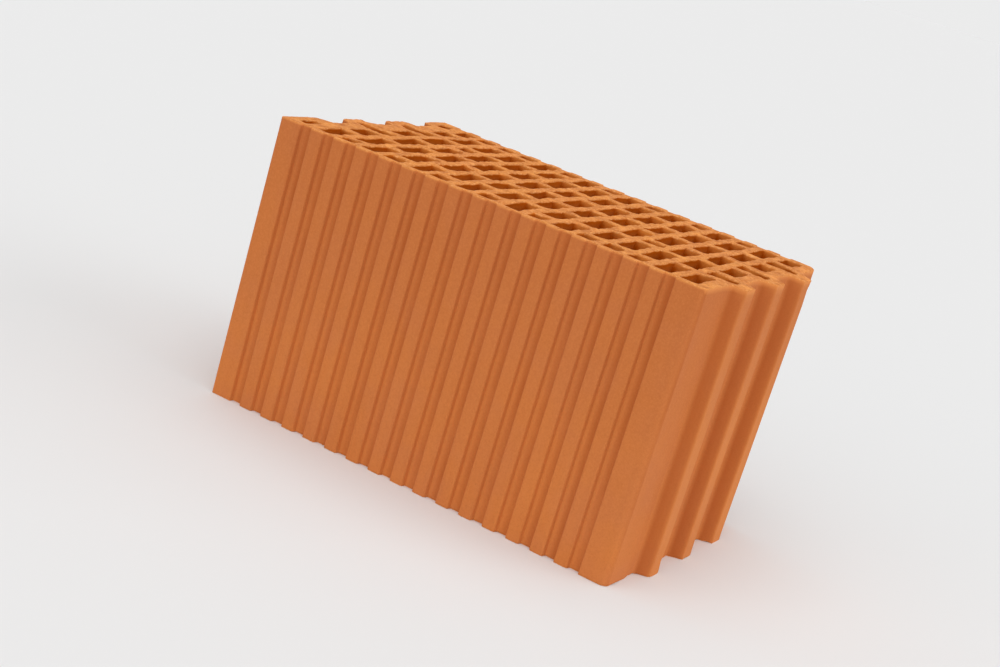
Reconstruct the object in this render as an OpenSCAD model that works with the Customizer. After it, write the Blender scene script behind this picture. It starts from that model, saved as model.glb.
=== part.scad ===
// Vertically perforated clay brick with interlocking ends, in millimetres.
// It lies on its bed face as it is laid: +X runs along the wall, +Y goes from the front face
// to the back face, and +Z is up. The origin is under the middle of the brick.

/* [Block] */
// Length of the brick without its tongues
block_length = 382; // [340:1:460]
// Width from the front face to the back face, the thickness of the wall
block_width = 250; // [230:1:300]
// Height between the two wire-cut bed faces
block_height = 238; // [100:1:300]
// Radius of the upright corners beside the tongues
corner_radius = 6; // [2:0.5:8]

/* [Cells] */
// Number of rows of cells along the length
row_count = 16; // [14:1:18]
// Length of a cell along the wall
cell_length = 14; // [10:0.5:15]
// Clay between the front or back face and the nearest cell
face_shell = 8; // [7:0.5:10]
// Clay between two cells of the same row
cell_web = 7; // [5:0.5:9]
// Clay between the floor of an end groove and the first row
groove_wall = 15; // [10:0.5:16]
// Clay between the tongued end and the last row
tongue_wall = 11.5; // [9:0.5:16]
// Radius of the upright corners of a cell
cell_radius = 2; // [1:0.25:3]

/* [Face grooves] */
// Depth of the plaster grooves in the front and back faces
face_groove_depth = 4.3; // [2:0.1:5]
// Width of a plaster groove at the face
face_groove_mouth = 10.5; // [9.5:0.5:13]
// Width of a plaster groove at its floor
face_groove_floor = 8.5; // [6:0.5:9]
// Radius in the corners of a plaster groove
face_groove_radius = 1; // [0.5:0.25:1.5]

/* [Interlocking ends] */
// Distance of the middle of the first tongue from the front face
front_margin = 64.5; // [58:0.5:66]
// Distance of the middle of the last tongue from the back face
back_margin = 54.5; // [54:0.5:62]
// Length of the tongues beyond the end of the brick
tongue_reach = 11.5; // [8:0.5:13]
// Width of a tongue at its tip
tongue_tip = 16; // [12:0.5:20]
// Width of a tongue where it leaves the end
tongue_base = 30; // [25:0.5:32]
// Radius of the upright corners of a tongue
tongue_radius = 3; // [1:0.5:4]
// Radius of the upright corners of the tips between the end grooves
tip_radius = 1; // [1:0.5:4]
// Gap on each side of a tongue in the groove of the next brick
side_clearance = 4.5; // [3:0.5:6]
// Gap between the tip of a tongue and the floor of the groove
tip_clearance = 1.5; // [1:0.5:3]

/* [End cells] */
// Width of a tapered end cell at its inner end
end_cell_base = 20; // [16:0.5:22]
// Width of a tapered end cell at its outer end
end_cell_tip = 12; // [10:0.5:13]
// Clay between the end cells and the tips of the grooved end
tip_wall = 9; // [7:0.5:10]
// Clay between the end cells and the tips of the tongues
tongue_tip_wall = 11.5; // [9:0.5:13]
// Width of the small cells in the two outer tips
pocket_width = 22; // [16:0.5:22]
// Length of the small cells in the two outer tips
pocket_length = 8; // [6:0.5:9]
// Clay between a small cell and the face of the brick
pocket_shell = 10; // [8:0.5:11]

/* [Hidden] */
clay = [0.77, 0.43, 0.24];

// Flats in the arc of a rounded corner
arc_steps = 3;

// A cut reaches this far past the face it opens
overcut = 3;

// Half cells across the width of the brick
row_halves = 10;

// The bond of the cells shifts at the row of this number from each end
row_shift_count = 3;

overall_length = block_length + tongue_reach;
tongue_count = 3;
last_tongue = tongue_count - 1;
tongue_pitch = (block_width - front_margin - back_margin) / last_tongue;
groove_depth = tongue_reach + tip_clearance;
groove_mouth = tongue_base + 2 * side_clearance;
groove_floor = tongue_tip + 2 * side_clearance;
groove_middle = (groove_floor + groove_mouth) / 2;
tip_root = groove_depth + corner_radius + 2 * tip_radius;
tongue_root = 2 * tongue_radius;
first_row_x = groove_depth + groove_wall;
last_row_x = block_length - tongue_wall - cell_length;
row_pitch = (last_row_x - first_row_x) / (row_count - 1);
cross_web = row_pitch - cell_length;
half_pitch = (block_width - 2 * face_shell + cell_web) / row_halves;
end_cell_reserve = end_cell_base / 2 + cell_web;

// Start of row number r, from 1 at the grooved end
function row_x(r) = first_row_x + (r - 1) * row_pitch;

// Middle of tongue number i, from 0 at the front face
function tongue_y(i) = front_margin + i * tongue_pitch;

// Middle of the tip between end grooves i and i + 1
function tip_y(i) = (tongue_y(i) + tongue_y(i + 1)) / 2;

// Slant of a flank that widens from one width to another over a distance
function slant(narrow, wide, distance) = (wide - narrow) / 2 / distance;

// Sum of the first n entries of a list
function sum_to(list, n) = n == 0 ? 0 : list[n - 1] + sum_to(list, n - 1);

// Cells of row number r from front to back, 1 for a half cell and 2 for a whole one,
// so that each row breaks joint with the next
function row_cells(r) =
    r == row_shift_count ? [2, 2, 2, 1, 2, 1] :
    r == row_count - row_shift_count ? [1, 2, 1, 2, 2, 2] :
    r % 2 == 0 ? [1, 2, 2, 2, 2, 1] : [2, 2, 2, 2, 2];

function unit(v) = v / norm(v);

// Points of the arc that rounds a corner of an outline
function corner_arc(before, corner, after, radius) =
    let (
        to_before = unit(before - corner),
        to_after = unit(after - corner),
        half_angle = acos(to_before * to_after) / 2,
        centre = corner + unit(to_before + to_after) * radius / sin(half_angle),
        start = corner + to_before * radius / tan(half_angle) - centre,
        end = corner + to_after * radius / tan(half_angle) - centre
    )
    [for (k = [0 : arc_steps])
        centre + radius * unit(start * (arc_steps - k) + end * k)];

// Convex outline with all its corners rounded
module rounded(corners, radius) {
    n = len(corners);
    polygon([for (i = [0 : n - 1])
        each corner_arc(corners[(i + n - 1) % n], corners[i], corners[(i + 1) % n], radius)]);
}

// Rounded rectangle between two opposite corners
module rounded_box(low, high, radius) {
    rounded([low, [high[0], low[1]], high, [low[0], high[1]]], radius);
}

// Tip of the grooved end, from one flank to the other at its free end, with the slant of each
module end_tip(low, high, low_slant, high_slant) {
    rounded([
        [0, low],
        [tip_root, low - low_slant * tip_root],
        [tip_root, high + high_slant * tip_root],
        [0, high]
    ], tip_radius);
}

// The four tips that leave the three end grooves between them
module grooved_end() {
    flank = slant(groove_floor, groove_mouth, groove_depth);
    end_tip(0, tongue_y(0) - groove_mouth / 2, 0, flank);
    for (i = [0 : last_tongue - 1])
        end_tip(tongue_y(i) + groove_mouth / 2, tongue_y(i + 1) - groove_mouth / 2, flank, flank);
    end_tip(tongue_y(last_tongue) + groove_mouth / 2, block_width, flank, 0);
}

module tongues() {
    root_width = tongue_base + 2 * tongue_root * slant(tongue_tip, tongue_base, tongue_reach);
    for (i = [0 : last_tongue])
        translate([block_length, tongue_y(i)])
            rounded([
                [-tongue_root, -root_width / 2],
                [tongue_reach, -tongue_tip / 2],
                [tongue_reach, tongue_tip / 2],
                [-tongue_root, root_width / 2]
            ], tongue_radius);
}

// Plaster groove cut into a face that lies on the X axis
module face_groove() {
    outer_width = face_groove_mouth
        + 2 * overcut * slant(face_groove_floor, face_groove_mouth, face_groove_depth);
    rounded([
        [-outer_width / 2, -overcut],
        [outer_width / 2, -overcut],
        [face_groove_floor / 2, face_groove_depth],
        [-face_groove_floor / 2, face_groove_depth]
    ], face_groove_radius);
}

// One plaster groove in front of and behind each web between the rows
module face_grooves() {
    for (r = [1 : row_count])
        translate([row_x(r) - cross_web / 2, 0]) {
            face_groove();
            translate([0, block_width])
                mirror([0, 1])
                    face_groove();
        }
}

module outline() {
    difference() {
        union() {
            rounded_box([groove_depth, 0], [block_length, block_width], corner_radius);
            grooved_end();
            tongues();
        }
        face_grooves();
    }
}

// Cell of row number r between two places across the width
module cell(r, low, high) {
    rounded_box([row_x(r), low], [row_x(r) + cell_length, high], cell_radius);
}

module middle_rows() {
    for (r = [2 : row_count - 1])
        for (k = [0 : len(row_cells(r)) - 1]) {
            low = face_shell + sum_to(row_cells(r), k) * half_pitch;
            cell(r, low, low + row_cells(r)[k] * half_pitch - cell_web);
        }
}

// Tapered cell that runs from the end row into a tip or a tongue
module end_cell(inner_x, outer_x, middle) {
    rounded([
        [inner_x, middle - end_cell_base / 2],
        [outer_x, middle - end_cell_tip / 2],
        [outer_x, middle + end_cell_tip / 2],
        [inner_x, middle + end_cell_base / 2]
    ], cell_radius);
}

// Row behind the end grooves, with the cells in the tips
module first_row() {
    front_split = tongue_y(0) - groove_middle / 2;
    back_split = tongue_y(last_tongue) + groove_middle / 2;
    cell(1, face_shell, front_split - cell_web / 2);
    cell(1, front_split + cell_web / 2, tip_y(0) - end_cell_reserve);
    cell(1, tip_y(0) + end_cell_reserve, tip_y(1) - end_cell_reserve);
    cell(1, tip_y(1) + end_cell_reserve, back_split - cell_web / 2);
    cell(1, back_split + cell_web / 2, block_width - face_shell);
    for (i = [0 : last_tongue - 1])
        end_cell(first_row_x + cell_length, tip_wall, tip_y(i));
    for (low = [pocket_shell, block_width - pocket_shell - pocket_width])
        rounded_box([tip_wall, low], [tip_wall + pocket_length, low + pocket_width], cell_radius);
}

// Row beside the tongued end, with the cells in the tongues
module last_row() {
    cell(row_count, face_shell, tongue_y(0) - end_cell_reserve);
    for (i = [0 : last_tongue - 1])
        cell(row_count, tongue_y(i) + end_cell_reserve, tongue_y(i + 1) - end_cell_reserve);
    cell(row_count, tongue_y(last_tongue) + end_cell_reserve, block_width - face_shell);
    for (i = [0 : last_tongue])
        end_cell(last_row_x, overall_length - tongue_tip_wall, tongue_y(i));
}

module clay_brick() {
    color(clay)
        translate([-overall_length / 2, -block_width / 2])
            linear_extrude(block_height)
                difference() {
                    outline();
                    middle_rows();
                    first_row();
                    last_row();
                }
}

clay_brick();
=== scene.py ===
"""Looks of a perforated clay brick: its worn and wire-cut body, its fired clay and a plain studio."""
import math

import bmesh
import bpy
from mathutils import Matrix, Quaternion, Vector


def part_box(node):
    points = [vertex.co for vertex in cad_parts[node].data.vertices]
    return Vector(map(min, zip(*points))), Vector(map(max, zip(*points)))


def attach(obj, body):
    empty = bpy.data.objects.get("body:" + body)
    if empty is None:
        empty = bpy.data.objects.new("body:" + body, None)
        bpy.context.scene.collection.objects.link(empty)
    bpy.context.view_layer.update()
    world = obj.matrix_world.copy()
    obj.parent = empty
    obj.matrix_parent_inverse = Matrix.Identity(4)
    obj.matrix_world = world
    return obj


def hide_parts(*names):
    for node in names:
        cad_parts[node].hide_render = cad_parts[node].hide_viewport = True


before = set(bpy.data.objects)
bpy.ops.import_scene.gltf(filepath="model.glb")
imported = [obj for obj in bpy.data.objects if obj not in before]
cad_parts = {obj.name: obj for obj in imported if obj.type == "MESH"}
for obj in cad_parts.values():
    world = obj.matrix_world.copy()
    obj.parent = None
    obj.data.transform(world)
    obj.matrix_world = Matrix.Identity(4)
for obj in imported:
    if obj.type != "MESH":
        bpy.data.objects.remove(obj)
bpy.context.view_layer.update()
low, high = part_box("clay_brick")

# Section of the brick that its relief and its finishes follow, in metres
FIRST_GROOVE = -0.1727
GROOVE_PITCH = 0.0219
GROOVE_DEPTH = 0.0043
CELL_LENGTH = 0.014
CROSS_WEB = GROOVE_PITCH - CELL_LENGTH
TONGUE_REACH = 0.0115

# Kinds of faces, in the order of their finishes
SKIN, CELL_WALL, BED, TORN_RIM = range(4)

# Slopes that tell faces apart, as the upright share of a normal
MOST_WALL_SLOPE = 0.1
LEAST_BED_SLOPE = 0.99
BED_SIDE_SLOPE = 0.5
RIM_SLOPES = (0.25, 0.97)

# Measures that tell edges apart and join the faces of the solid
UPRIGHT_SHARE = 0.9
ROOT_TOLERANCE = 0.0005
SHARP_UPRIGHT = math.radians(40)
FLAT_PAIR = math.radians(1)
SMOOTH_ANGLE = math.radians(35)
MERGE_DISTANCE = 0.00001

# Rounded edges, in metres, and the flats across each of them
ROOT_ROUND = 0.0025
UPRIGHT_ROUND = 0.0009
CELL_RIM_ROUND = 0.0012
RIM_ROUND = 0.0006
ROOT_FLATS = 3
EDGE_FLATS = 2

# Cuts that give the mesh points to wave and tear, in metres
CUT_SPACING = 0.0035
CUT_DEPTHS = (0.002, 0.005, 0.011, 0.024)

# Waves of the webs and tears of the rims, in metres
WEB_WAVE = 0.0026
WEB_WAVE_SIZE = 0.030
RIM_TEAR = 0.0022
RIM_TEAR_SIZE = 0.0060
RIM_TEAR_DEPTH = 0.010
WAVE_OCTAVES = 2

# Depth of the outer skin in metres, and its share of the wave
SKIN_DEPTH = 0.006
SKIN_WAVE = 0.15

# Wear of the webs, the tongue tips and the back corner, in metres
WEB_DRAG = 0.0009
WEB_DRAG_DEPTH = 0.012
TIP_WEAR = 0.0028
TIP_WEAR_REACH = 0.0175
TIP_WEAR_DEPTH = 0.011
TIP_WEAR_SPAN = 0.195
CORNER_WEAR = 0.0013
CORNER_WEAR_REACH = 0.014

# How steeply the wear of the tongue tips grows outwards and towards the back
TIP_REACH_POWER = 1.3
TIP_SPAN_POWER = 1.5

# Shade in the cells, which fades on the long walls and grows on the short ones over this depth in metres
CELL_DEPTH = 0.0068
LONG_WALL_TOP = 1.24
LONG_WALL_LEAST = 0.4
SHORT_WALL_GROWTH = 0.25

# Shade in the corners of the short walls: its width at the rim in metres, and how it grows with the depth
CORNER_WIDTH = 0.0015
CORNER_SPREAD = 0.9
CORNER_GROWTH = 1.9
CORNER_MOST = 1.2

# Pale rims of the cells: depths of the light on short walls and of the edge itself, in metres
RIM_LIGHT_DEPTH = 0.007
RIM_EDGE_DEPTH = 0.0017
RIM_EDGE_TOP = 1.25
CORNER_DIMMING = 0.9

# Pale clay that the wire smeared over the top edges of the skin, with a painted highlight there: its depths
# in metres
FACE_SMEAR = 0.0012
END_SMEAR = 0.0036
TIP_SMEAR = 0.0050
SMEAR_TOP = 1.3

# The tongued end begins this share of a tongue's reach before the tongues
END_MARGIN = 0.1

# Shade on the flanks at the ends, clear of the faces by a share of the depth of a plaster groove
FACE_MARGIN = 1.3
FLANK_START = 0.25
FLANK_SPAN = 0.6
FLANK_TIP = 0.4

# Least length of the level part of a normal, so that a share of it can be taken
LEAST_LENGTH = 0.001

# Place in the clay that the brick's clouds are taken from
CLAY_SAMPLE = (0.31, 0.17, 0.05)

# Spans of the grain that turn darker and paler, and roughness from smooth to coarse grain
FULL_SPAN = (0.0, 1.0)
DARK_GRAIN = (0.5, 0.66)
PALE_GRAIN = (0.5, 0.34)
GRAIN_ROUGHNESS = (0.2, 0.8, 0.78, 0.96)

# Share of the drag lines in the fine relief, and its height in metres
LINE_RELIEF = 0.35
RELIEF_HEIGHT = 0.0006

# Dark painted shade on the floor of a plaster groove, along its +X side next to the wall: across it and up
# the brick in metres, by its depth, and its patches
GROOVE_SHADE_ACROSS = (-0.0022, 0.0016)
GROOVE_SHADE_SUNK = (0.4, 0.9)
GROOVE_SHADE_LIMIT = (1.2, 1.4)
GROOVE_SHADE_RISE = (0.06, 0.19, 0.8, 1.3)
GROOVE_SHADE_PATCH_SCALE = 60.0
GROOVE_SHADE_PATCH_STRETCH = 0.3
GROOVE_SHADE_PATCHES = (0.3, 0.7, 0.5, 1.5)

# Painted light along the other side of a plaster groove, by the same measures
GROOVE_LIGHT_START = (-0.0060, -0.0042)
GROOVE_LIGHT_END = (-0.0034, -0.0010)
GROOVE_LIGHT_SUNK = (0.05, 0.3)
GROOVE_LIGHT_RISE = (0.10, 0.20, 1.0, 0.5)

# Camera of the photograph, with the image taken to be 1000 by 667
CAMERA_PLACE = Vector((0.5709, -1.2170, 0.4661))
CAMERA_AIM = Vector((0.0566, 0.0132, 0.0852))
CAMERA_ROLL = math.radians(17.735)
CAMERA_LENS = 60.042
CAMERA_SHIFT = (-0.0748, 0.0606)
SENSOR_WIDTH = 36.0

# Lamps by name: bearing from the front to the right, elevation and spread in degrees, and share of white
LAMPS = {
    "front_softbox": (6.0, 28.0, 90.0, 0.32),
    "side_softbox": (108.0, 14.0, 60.0, 0.32),
    "top_softbox": (0.0, 86.0, 60.0, 0.30),
}
LAMP_DISTANCE = 3.0

# Floor of the studio, and its surround as the brick meets it and as the camera sees it
FLOOR_SIZE = 120.0
FLOOR_ROUGHNESS = 0.9
FLOOR_GREY = (0.8, 0.8, 0.8, 1.0)
SURROUND_LIGHT = (0.5, 0.5, 0.5, 1.0)
SURROUND_SEEN = (0.835, 0.835, 0.835, 1.0)


def linear(red, green, blue):
    """Colour from its 8-bit screen values, as shaders take it."""
    def channel(value):
        share = value / 255
        return share / 12.92 if share <= 0.04045 else ((share + 0.055) / 1.055) ** 2.4
    return (channel(red), channel(green), channel(blue), 1.0)


def select_only(piece):
    """Leaves one object selected and active."""
    bpy.ops.object.select_all(action="DESELECT")
    piece.select_set(True)
    bpy.context.view_layer.objects.active = piece


def select_edges(piece, wanted):
    """Selects the edges of the piece in edit mode that the test wants."""
    bpy.ops.mesh.select_all(action="DESELECT")
    bpy.ops.mesh.select_mode(type="EDGE")
    cage = bmesh.from_edit_mesh(piece.data)
    for edge in cage.edges:
        edge.select_set(wanted(edge))
    bmesh.update_edit_mesh(piece.data)


def is_sharp_upright(edge):
    """An upright edge where two walls turn sharply."""
    start, end = (vert.co for vert in edge.verts)
    upright = abs(end.z - start.z) > UPRIGHT_SHARE * (high.z - low.z)
    return upright and len(edge.link_faces) == 2 and edge.calc_face_angle() > SHARP_UPRIGHT


def is_tongue_root(edge):
    """A sharp upright edge where a tongue leaves the end."""
    from_end = edge.verts[0].co.x - (high.x - TONGUE_REACH)
    return is_sharp_upright(edge) and abs(from_end) < ROOT_TOLERANCE


def is_rim(edge):
    """An edge between a wire-cut bed and a wall."""
    if len(edge.link_faces) != 2:
        return False
    slopes = sorted(abs(face.normal.z) for face in edge.link_faces)
    return slopes[0] < MOST_WALL_SLOPE and slopes[1] > LEAST_BED_SLOPE


def is_cell_rim(edge):
    """A rim at the mouth of a cell."""
    return is_rim(edge) and any(face.material_index == CELL_WALL for face in edge.link_faces)


def sort_faces(piece):
    """Tells the beds, the outer skin and the cell walls of the piece apart in edit mode."""
    cage = bmesh.from_edit_mesh(piece.data)
    for face in cage.faces:
        face.material_index = BED if abs(face.normal.z) > BED_SIDE_SLOPE else CELL_WALL
    walls = [face for face in cage.faces if face.material_index == CELL_WALL]
    outermost = max(walls, key=lambda face: face.calc_center_median().x)
    outermost.material_index = SKIN
    front = [outermost]
    while front:
        for edge in front.pop().edges:
            for face in edge.link_faces:
                if face.material_index == CELL_WALL:
                    face.material_index = SKIN
                    front.append(face)
    bmesh.update_edit_mesh(piece.data)


def sort_rims(piece):
    """Marks the slanted faces between the beds and the walls of the piece in edit mode."""
    cage = bmesh.from_edit_mesh(piece.data)
    for face in cage.faces:
        if RIM_SLOPES[0] < abs(face.normal.z) < RIM_SLOPES[1]:
            face.material_index = TORN_RIM
    bmesh.update_edit_mesh(piece.data)


def cut_across(axis, places):
    """Cuts the whole piece in edit mode by planes across an axis."""
    normal = [0.0, 0.0, 0.0]
    normal[axis] = 1.0
    for place in places:
        point = [0.0, 0.0, 0.0]
        point[axis] = place
        bpy.ops.mesh.select_all(action="SELECT")
        bpy.ops.mesh.bisect(plane_co=point, plane_no=normal)


def spaced(start, end, spacing):
    """Evenly spaced places inside a span."""
    count = round((end - start) / spacing)
    return [start + (end - start) * (k + 0.5) / count for k in range(count)]


def weigh(piece, name, weight):
    """Vertex group whose weights follow a function of the place."""
    group = piece.vertex_groups.new(name=name)
    for vert in piece.data.vertices:
        group.add([vert.index], weight(vert.co), "REPLACE")
    return group


def displace(piece, name, size, strength, group):
    """Moves the points of the piece by coloured clouds of the given size and applies the change."""
    clouds = bpy.data.textures.new(name, type="CLOUDS")
    clouds.cloud_type = "COLOR"
    clouds.noise_scale = size
    clouds.noise_depth = WAVE_OCTAVES
    wave = piece.modifiers.new(name, type="DISPLACE")
    wave.texture = clouds
    wave.texture_coords = "LOCAL"
    wave.direction = "RGB_TO_XYZ"
    wave.mid_level = 0.5
    wave.strength = strength
    wave.vertex_group = group.name
    bpy.ops.object.modifier_apply(modifier=wave.name)


def bed_distance(place):
    """Distance of a place from the nearer wire-cut bed."""
    return min(place.z - low.z, high.z - place.z)


def face_distance(place):
    """Distance of a place from the nearer of the front and back faces."""
    return min(place.y - low.y, high.y - place.y)


def inner_share(place):
    """None in the outer skin, and full among the webs."""
    return min(1.0, max(0.0, face_distance(place) - SKIN_DEPTH) / SKIN_DEPTH)


def web_weight(place):
    """Full wave in the webs, and little in the outer skin."""
    return SKIN_WAVE + (1.0 - SKIN_WAVE) * inner_share(place)


def rim_weight(place):
    """Torn at the beds, and whole further inside."""
    return web_weight(place) * max(0.0, 1.0 - bed_distance(place) / RIM_TEAR_DEPTH)


def web_drag(place):
    """Share of the wire's drag: full along the -X edge of each cross web and none at its other edge."""
    half_cell = 0.5 * CELL_LENGTH
    inward = (place.x - FIRST_GROOVE + 0.5 * CROSS_WEB + half_cell) % GROOVE_PITCH - half_cell
    share = 1.0 - inward / CROSS_WEB if inward > 0.0 else 1.0 + inward / half_cell
    return max(0.0, share) * max(0.0, 1.0 - bed_distance(place) / WEB_DRAG_DEPTH)


def wear(piece):
    """Thins the cross webs at the beds, drags the tongue tips down and blunts the back corner beside them."""
    corner = Vector((high.x - TONGUE_REACH, high.y))
    for vert in piece.data.vertices:
        vert.co.x += WEB_DRAG * web_drag(vert.co) * inner_share(vert.co)
        top = max(0.0, 1.0 - (high.z - vert.co.z) / TIP_WEAR_DEPTH)
        reach = max(0.0, (vert.co.x - high.x) / TIP_WEAR_REACH + 1.0)
        back = min(1.0, max(0.0, (vert.co.y - low.y) / TIP_WEAR_SPAN))
        vert.co.z -= TIP_WEAR * reach ** TIP_REACH_POWER * back ** TIP_SPAN_POWER * top
        near = max(0.0, 1.0 - (corner - vert.co.xy).length / CORNER_WEAR_REACH)
        vert.co.xy -= Vector((CORNER_WEAR, CORNER_WEAR)) * near


def keep_inside(piece):
    """Keeps the points of the piece inside the box of the solid."""
    for vert in piece.data.vertices:
        for axis in range(3):
            vert.co[axis] = min(max(vert.co[axis], low[axis]), high[axis])


def crosswise(normal):
    """Share by which a wall faces the front or the back, and not an end."""
    return abs(normal.y) / max(math.hypot(normal.x, normal.y), LEAST_LENGTH)


def cell_corner(place):
    """Nearness to the corners at the two ends of a cell's short walls."""
    along = (place.x - FIRST_GROOVE - 0.5 * CROSS_WEB) % GROOVE_PITCH
    width = CORNER_WIDTH + CORNER_SPREAD * bed_distance(place)
    return max(0.0, 1.0 - max(0.0, min(along, CELL_LENGTH - along)) / width)


def cell_recess(vert):
    """Share of the deep colour of painted shade at a point of a cell wall."""
    depth = bed_distance(vert.co) / CELL_DEPTH
    long_wall = max(LONG_WALL_LEAST, LONG_WALL_TOP - depth)
    corner = cell_corner(vert.co) * min(CORNER_MOST, CORNER_GROWTH * depth)
    short_wall = SHORT_WALL_GROWTH * depth + corner
    return long_wall + (short_wall - long_wall) * crosswise(vert.normal)


def skin_recess(vert):
    """Share of the deep colour of painted shade at a point of the outer skin: the flanks at its ends have it.
    """
    if face_distance(vert.co) < FACE_MARGIN * GROOVE_DEPTH:
        return 0.0
    foot = (high.x - vert.co.x) / TONGUE_REACH if vert.co.x > 0.0 else 1.0
    strength = FLANK_TIP + (1.0 - FLANK_TIP) * min(1.0, foot)
    return (crosswise(vert.normal) - FLANK_START) / FLANK_SPAN * strength


def cell_light(vert):
    """Share of the pale rim colour at a point of a cell wall: painted light on the short walls near the rim,
    dimmed at the corners, and a painted highlight along the edge itself.
    """
    depth = bed_distance(vert.co)
    lit = crosswise(vert.normal) * (1.0 - depth / RIM_LIGHT_DEPTH)
    wall = lit * (1.0 - CORNER_DIMMING * cell_corner(vert.co))
    return max(wall, RIM_EDGE_TOP - depth / RIM_EDGE_DEPTH)


def skin_light(vert):
    """Share of the pale clay at a point of the outer skin, where the wire smeared it over the top edge,
    together with a painted highlight there.
    """
    tip = (vert.co.x - high.x) / TONGUE_REACH + 1.0
    smear = END_SMEAR + (TIP_SMEAR - END_SMEAR) * tip if tip > -END_MARGIN else FACE_SMEAR
    return SMEAR_TOP - (high.z - vert.co.z) / smear


def mark_shades(piece):
    """Stores the painted shade and the rim light, which paints light and highlights at the rims, of each
    point, from 0 to 1, for the finishes.
    """
    skin = {point for face in piece.data.polygons if face.material_index == SKIN for point in face.vertices}
    marks = (("recess_shade", skin_recess, cell_recess), ("rim_light", skin_light, cell_light))
    for name, on_skin, in_cells in marks:
        shares = []
        for vert in piece.data.vertices:
            share = on_skin if vert.index in skin else in_cells
            shares.append(min(1.0, max(0.0, share(vert))))
        piece.data.attributes.new(name, "FLOAT", "POINT")
        piece.data.attributes[name].data.foreach_set("value", shares)


def soften(piece):
    """Sorts the faces of the piece, rounds its edges and cuts its mesh finely."""
    bpy.ops.object.mode_set(mode="EDIT")
    bpy.ops.mesh.select_all(action="SELECT")
    bpy.ops.mesh.remove_doubles(threshold=MERGE_DISTANCE)
    bpy.ops.mesh.tris_convert_to_quads(face_threshold=FLAT_PAIR, shape_threshold=math.pi)
    sort_faces(piece)
    for wanted, radius, flats in (
            (is_tongue_root, ROOT_ROUND, ROOT_FLATS),
            (is_sharp_upright, UPRIGHT_ROUND, EDGE_FLATS),
            (is_cell_rim, CELL_RIM_ROUND, EDGE_FLATS),
            (is_rim, RIM_ROUND, EDGE_FLATS)):
        select_edges(piece, wanted)
        bpy.ops.mesh.bevel(offset=radius, segments=flats, affect="EDGES")
    sort_rims(piece)
    cut_across(0, spaced(low.x, high.x, CUT_SPACING))
    cut_across(1, spaced(low.y, high.y, CUT_SPACING))
    cut_across(2, [low.z + depth for depth in CUT_DEPTHS] + [high.z - depth for depth in CUT_DEPTHS])
    bpy.ops.object.mode_set(mode="OBJECT")


def fired_brick(node, finishes):
    """The brick as fired: a copy of the solid with softened edges, wavy webs, torn rims and worn tongues."""
    select_only(node)
    bpy.ops.object.duplicate()
    brick = bpy.context.active_object
    brick.name = "fired_clay_brick"
    brick.data.materials.clear()
    for finish in finishes:
        brick.data.materials.append(finish)
    soften(brick)
    mark_shades(brick)
    webs = weigh(brick, "webs", web_weight)
    rims = weigh(brick, "rims", rim_weight)
    displace(brick, "web_wave", WEB_WAVE_SIZE, WEB_WAVE, webs)
    displace(brick, "rim_tear", RIM_TEAR_SIZE, RIM_TEAR, rims)
    wear(brick)
    keep_inside(brick)
    bpy.ops.object.shade_smooth_by_angle(angle=SMOOTH_ANGLE)
    return brick


class Nodes:
    """Makes and links the nodes of one material, group or world."""

    def __init__(self, tree):
        self.tree = tree
        tree.nodes.clear()

    def feed(self, socket, value):
        """Links a socket to another node's output, or gives it a constant."""
        if isinstance(value, bpy.types.NodeSocket):
            self.tree.links.new(value, socket)
        else:
            socket.default_value = value

    def add(self, kind, inputs=None, **settings):
        """New node with its settings made and its inputs fed."""
        node = self.tree.nodes.new(kind)
        for name, value in settings.items():
            setattr(node, name, value)
        for socket, value in (inputs or {}).items():
            self.feed(node.inputs[socket], value)
        return node

    def place(self):
        """Place of the point in the object's own coordinates."""
        return self.add("ShaderNodeTexCoord").outputs["Object"]

    def axes(self):
        """The three coordinates of the place."""
        return self.add("ShaderNodeSeparateXYZ", {"Vector": self.place()}).outputs

    def attribute(self, name):
        """Value that the mesh stores under a name."""
        return self.add("ShaderNodeAttribute", attribute_name=name).outputs["Fac"]

    def mix(self, factor, first, second):
        """Colour between two colours."""
        node = self.add("ShaderNodeMix", data_type="RGBA")
        sockets = {socket.identifier: socket for socket in node.inputs}
        self.feed(sockets["Factor_Float"], factor)
        self.feed(sockets["A_Color"], first)
        self.feed(sockets["B_Color"], second)
        return next(socket for socket in node.outputs if socket.identifier == "Result_Color")

    def ramp(self, value, start, end, to_low=0.0, to_high=1.0):
        """Value spread from one range to another, kept within it."""
        node = self.add("ShaderNodeMapRange", {
            "Value": value, "From Min": start, "From Max": end, "To Min": to_low, "To Max": to_high})
        return node.outputs["Result"]

    def math(self, operation, *values):
        """Result of an arithmetic operation."""
        return self.add("ShaderNodeMath", dict(enumerate(values)), operation=operation).outputs["Value"]

    def product(self, first, *others):
        """Product of several values."""
        result = first
        for value in others:
            result = self.math("MULTIPLY", result, value)
        return result

    def vector_math(self, operation, first, second):
        """Result of an operation on two vectors."""
        node = self.add("ShaderNodeVectorMath", {0: first, 1: second}, operation=operation)
        return node.outputs["Vector"]

    def vector(self, x, y, z):
        """Vector of three values."""
        return self.add("ShaderNodeCombineXYZ", {"X": x, "Y": y, "Z": z}).outputs["Vector"]

    def noise(self, place, scale, detail=3.0, roughness=0.5):
        """Clouds of noise around one half."""
        node = self.add("ShaderNodeTexNoise", {
            "Vector": place, "Scale": scale, "Detail": detail, "Roughness": roughness})
        return node.outputs["Fac"]


def new_group(name, inputs, outputs):
    """Empty shader group with named number sockets, its nodes and what it is given."""
    tree = bpy.data.node_groups.new(name, "ShaderNodeTree")
    for socket, value in inputs.items():
        number = tree.interface.new_socket(socket, in_out="INPUT", socket_type="NodeSocketFloat")
        number.default_value = value
    for socket in outputs:
        tree.interface.new_socket(socket, in_out="OUTPUT", socket_type="NodeSocketFloat")
    nodes = Nodes(tree)
    return tree, nodes, nodes.add("NodeGroupInput").outputs


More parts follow.
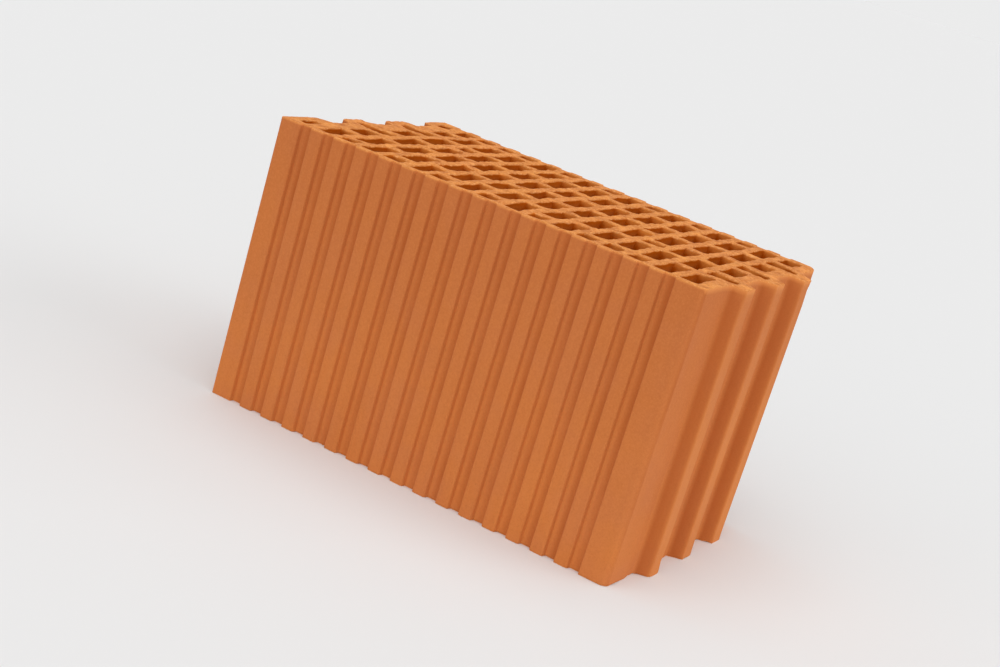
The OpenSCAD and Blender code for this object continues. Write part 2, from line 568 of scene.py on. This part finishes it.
def clay_body_group():
    """Clouds of firing colour, a blush, grain of the clay and scattered grog."""
    inputs = {"Cloud Scale": 14.0, "Grain Scale": 900.0, "Grog Scale": 260.0}
    tree, nodes, given = new_group("clay_body", inputs, ("Cloud", "Blush", "Grain", "Grog"))
    place = nodes.vector_math("ADD", nodes.place(), CLAY_SAMPLE)
    clouds = nodes.noise(place, given["Cloud Scale"], detail=4.0, roughness=0.55)
    blushes = nodes.noise(place, scale=23.0, detail=2.0)
    grain = nodes.noise(place, given["Grain Scale"], detail=5.0, roughness=0.7)
    specks = nodes.add("ShaderNodeTexVoronoi", {"Vector": place, "Scale": given["Grog Scale"]})
    speck = nodes.ramp(specks.outputs["Distance"], start=0.12, end=0.24, to_low=1.0, to_high=0.0)
    chosen = nodes.ramp(nodes.noise(place, scale=90.0, detail=2.0), start=0.58, end=0.66)
    nodes.add("NodeGroupOutput", {
        "Cloud": nodes.ramp(clouds, start=0.3, end=0.7),
        "Blush": nodes.ramp(blushes, start=0.42, end=0.62),
        "Grain": grain,
        "Grog": nodes.product(speck, chosen)})
    return tree


def die_drag_group():
    """Upright streaks and finer lines that the die leaves on the sides."""
    inputs = {"Streak Scale": 170.0, "Stretch": 0.02, "Line Fineness": 5.0}
    tree, nodes, given = new_group("die_drag", inputs, ("Streak", "Line"))
    drawn = nodes.vector_math("MULTIPLY", nodes.place(), nodes.vector(1.0, 1.0, given["Stretch"]))
    streaks = nodes.noise(drawn, given["Streak Scale"], roughness=0.6)
    line_scale = nodes.product(given["Streak Scale"], given["Line Fineness"])
    nodes.add("NodeGroupOutput", {
        "Streak": nodes.ramp(streaks, start=0.3, end=0.7),
        "Line": nodes.noise(drawn, line_scale, detail=2.0)})
    return tree


def groove_light_and_shade_group():
    """Dark painted shade along the +X side of each plaster groove, and painted light along its other side."""
    inputs = {"First": FIRST_GROOVE, "Pitch": GROOVE_PITCH, "Face": high.y, "Depth": GROOVE_DEPTH}
    tree, nodes, given = new_group("groove_light_and_shade", inputs, ("Shade", "Bare"))
    axes = nodes.axes()
    along = nodes.math("SUBTRACT", axes["X"], given["First"])
    half_pitch = nodes.product(given["Pitch"], 0.5)
    offset = nodes.math("WRAP", along, half_pitch, nodes.product(half_pitch, -1.0))
    side = nodes.math("SUBTRACT", given["Face"], nodes.math("ABSOLUTE", axes["Y"]))
    sunk = nodes.math("DIVIDE", side, given["Depth"])
    drawn = nodes.vector(along, side, nodes.product(axes["Z"], GROOVE_SHADE_PATCH_STRETCH))
    shade = nodes.product(
        nodes.ramp(offset, *GROOVE_SHADE_ACROSS),
        nodes.ramp(sunk, *GROOVE_SHADE_SUNK),
        nodes.ramp(sunk, *GROOVE_SHADE_LIMIT, to_low=1.0, to_high=0.0),
        nodes.ramp(axes["Z"], *GROOVE_SHADE_RISE),
        nodes.ramp(nodes.noise(drawn, GROOVE_SHADE_PATCH_SCALE), *GROOVE_SHADE_PATCHES))
    # Painted light on the -X wall of each plaster groove and on the floor beside it, less of it higher up
    groove_light = nodes.product(
        nodes.ramp(offset, *GROOVE_LIGHT_START),
        nodes.ramp(offset, *GROOVE_LIGHT_END, to_low=1.0, to_high=0.0),
        nodes.ramp(sunk, *GROOVE_LIGHT_SUNK),
        nodes.ramp(axes["Z"], *GROOVE_LIGHT_RISE))
    nodes.add("NodeGroupOutput", {"Shade": shade, "Bare": groove_light})
    return tree


def place_group(nodes, tree, **values):
    """Places a group in a material with its own values."""
    node = nodes.add("ShaderNodeGroup", node_tree=tree)
    for socket, value in values.items():
        node.inputs[socket.replace("_", " ")].default_value = value
    return node.outputs


def clay_material(name, colours, look, groups):
    """Fired clay: layers of colour over its body colour, some of them painted light and shade, as strong as
    the look says, and a fine relief.
    """
    shades = {part: linear(*colour) for part, colour in colours.items()}
    material = bpy.data.materials.new(name)
    material.use_nodes = True
    nodes = Nodes(material.node_tree)
    scales = {"Cloud_Scale": look["cloud_scale"], "Grain_Scale": look["grain_scale"]}
    clay = place_group(nodes, groups["body"], **scales)
    drag = place_group(nodes, groups["drag"])
    groove = place_group(nodes, groups["groove"])
    # Painted shade in the plaster grooves, only where the look gives it a share
    groove_shade = nodes.product(groove["Shade"], look.get("groove", 0.0))
    layers = (
        ("blush", clay["Blush"], FULL_SPAN, "blush"),
        ("cloud", clay["Cloud"], FULL_SPAN, "deep"),
        ("streak", drag["Streak"], FULL_SPAN, "pale"),
        # Painted shade: darker towards the top of the brick
        ("height_shade", nodes.axes()["Z"], (low.z, high.z), "deep"),
        ("grain", clay["Grain"], DARK_GRAIN, "deep"),
        ("grain", clay["Grain"], PALE_GRAIN, "pale"),
        ("grog", clay["Grog"], FULL_SPAN, "grog"),
        # Painted light along the -X side of each plaster groove, in the pale rim colour
        ("groove_light", groove["Bare"], FULL_SPAN, "rim"),
        # Painted shade on the end flanks, in the cells and on the floors of the plaster grooves
        ("recess_shade", nodes.math("MAXIMUM", nodes.attribute("recess_shade"), groove_shade), FULL_SPAN, "recess_shade"),
        # Painted light and highlight at the rims, with the pale smears on the skin
        ("rim", nodes.attribute("rim_light"), FULL_SPAN, "rim"))
    colour = shades["body"]
    for layer, value, span, shade in layers:
        if layer in look:
            colour = nodes.mix(nodes.ramp(value, *span, to_high=look[layer]), colour, shades[shade])
    height = nodes.math("ADD", nodes.product(drag["Line"], LINE_RELIEF), clay["Grain"])
    relief = nodes.add("ShaderNodeBump", {
        "Height": height, "Strength": look["bump"], "Distance": RELIEF_HEIGHT})
    shader = nodes.add("ShaderNodeBsdfPrincipled", {
        "Base Color": colour, "Roughness": nodes.ramp(clay["Grain"], *GRAIN_ROUGHNESS),
        "Normal": relief.outputs["Normal"], "Specular IOR Level": look["shine"]})
    nodes.add("ShaderNodeOutputMaterial", {"Surface": shader.outputs["BSDF"]})
    return material


def extruded_skin(groups):
    """Finish of the outer skin: smooth and streaked, with painted shade darker towards the top, in the
    grooves and on the end flanks, and pale smears with a painted highlight at its edge.
    """
    # The last two colours are painted shade, on the end flanks and in the grooves, and painted light, for the
    # grooves' other sides and the highlight with the smears
    colours = {
        "body": (211, 123, 58), "blush": (206, 121, 67), "deep": (187, 103, 50), "pale": (214, 129, 66),
        "recess_shade": (180, 93, 36), "rim": (230, 146, 76)}
    # This look lays painted shade in the grooves, on the end flanks and towards the top, painted light along
    # the grooves' other sides, and pale smears with a painted highlight at the top edge
    look = {
        "cloud_scale": 14.0, "grain_scale": 700.0, "blush": 0.8, "cloud": 0.35, "streak": 0.4, "height_shade": 0.6,
        "grain": 0.35, "groove_light": 0.35, "groove": 0.6, "recess_shade": 0.8, "rim": 0.8, "bump": 0.2, "shine": 0.3}
    return clay_material("extruded_skin", colours, look, groups)


def cell_wall(groups):
    """Finish of the cell walls: a deeper colour, with painted shade deep inside and pale rims of painted
    light and highlight.
    """
    # The last two colours are painted shade, deep in the cells and in their corners, and painted light and
    # highlight at their rims
    colours = {
        "body": (206, 120, 52), "blush": (205, 116, 56), "deep": (197, 105, 34), "pale": (236, 146, 66),
        "grog": (166, 88, 34), "recess_shade": (181, 80, 0), "rim": (236, 145, 64)}
    look = {
        "cloud_scale": 20.0, "grain_scale": 500.0, "blush": 0.6, "cloud": 0.7, "streak": 0.15,
        "grain": 0.3, "grog": 0.2, "recess_shade": 1.0, "rim": 0.65, "bump": 0.35, "shine": 0.0}
    return clay_material("cell_wall", colours, look, groups)


def wire_cut_bed(groups):
    """Finish of the beds: pale and coarse where the wire cut the clay."""
    colours = {
        "body": (242, 158, 77), "blush": (240, 154, 83), "deep": (182, 97, 36), "pale": (252, 184, 116),
        "grog": (170, 96, 44)}
    look = {
        "cloud_scale": 80.0, "grain_scale": 330.0, "blush": 0.6, "cloud": 0.85, "grain": 0.45, "grog": 0.4,
        "bump": 0.5, "shine": 0.3}
    return clay_material("wire_cut_bed", colours, look, groups)


def torn_rim(groups):
    """Finish of the rounded rims between the beds and the walls: pale torn clay with a painted highlight
    along the edges.
    """
    colours = {
        "body": (232, 151, 75), "blush": (232, 148, 81), "deep": (194, 108, 44), "pale": (248, 182, 116),
        "grog": (190, 112, 56)}
    look = {
        "cloud_scale": 90.0, "grain_scale": 420.0, "blush": 0.5, "cloud": 0.6, "grain": 0.6, "grog": 0.3,
        "bump": 0.6, "shine": 0.3}
    return clay_material("torn_rim", colours, look, groups)


def clay_finishes():
    """The finishes of the brick, in the order of the kinds of faces."""
    groups = {"body": clay_body_group(), "drag": die_drag_group(), "groove": groove_light_and_shade_group()}
    return [finish(groups) for finish in (extruded_skin, cell_wall, wire_cut_bed, torn_rim)]


def studio_floor():
    """Plain pale floor that keeps the shadow of the brick."""
    bpy.ops.mesh.primitive_plane_add(size=FLOOR_SIZE, location=(0.0, 0.0, low.z))
    floor = bpy.context.active_object
    floor.name = "studio_floor"
    paper = bpy.data.materials.new("floor_paper")
    paper.use_nodes = True
    nodes = Nodes(paper.node_tree)
    shader = nodes.add("ShaderNodeBsdfPrincipled", {
        "Base Color": FLOOR_GREY, "Roughness": FLOOR_ROUGHNESS, "Specular IOR Level": 0.0})
    nodes.add("ShaderNodeOutputMaterial", {"Surface": shader.outputs["BSDF"]})
    floor.data.materials.append(paper)


def soft_lamp(name, bearing, elevation, spread, level):
    """Broad even lamp, with its angles in degrees and its level as the share of white that it gives."""
    turn = math.radians(bearing)
    rise = math.radians(elevation)
    toward = Vector((math.sin(turn) * math.cos(rise), -math.cos(turn) * math.cos(rise), math.sin(rise)))
    bpy.ops.object.light_add(type="SUN", location=LAMP_DISTANCE * toward)
    lamp = bpy.context.active_object
    lamp.name = name
    lamp.data.angle = math.radians(spread)
    lamp.data.energy = math.pi * level
    lamp.rotation_euler = toward.to_track_quat("Z", "Y").to_euler()


def studio_surround():
    """Even grey surround, paler to the camera than to the brick."""
    world = bpy.data.worlds.new("studio_surround")
    world.use_nodes = True
    nodes = Nodes(world.node_tree)
    seen = nodes.add("ShaderNodeLightPath").outputs["Is Camera Ray"]
    sky = nodes.add("ShaderNodeBackground", {"Color": nodes.mix(seen, SURROUND_LIGHT, SURROUND_SEEN)})
    nodes.add("ShaderNodeOutputWorld", {"Surface": sky.outputs["Background"]})
    bpy.context.scene.world = world


def photo_camera():
    """Camera that sees the brick as the photograph does, with its roll."""
    bpy.ops.object.camera_add(location=CAMERA_PLACE)
    camera = bpy.context.active_object
    camera.name = "photo_camera"
    camera.data.sensor_width = SENSOR_WIDTH
    camera.data.lens = CAMERA_LENS
    camera.data.shift_x, camera.data.shift_y = CAMERA_SHIFT
    level = (CAMERA_AIM - CAMERA_PLACE).to_track_quat("-Z", "Y")
    turn = level @ Quaternion((0.0, 0.0, 1.0), CAMERA_ROLL)
    camera.rotation_euler = turn.to_euler()
    bpy.context.scene.camera = camera


brick = fired_brick(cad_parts["clay_brick"], clay_finishes())
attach(brick, "root")
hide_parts("clay_brick")
studio_floor()
for lamp_name, lamp_values in LAMPS.items():
    soft_lamp(lamp_name, *lamp_values)
studio_surround()
photo_camera()
bpy.context.scene.view_settings.view_transform = "Standard"
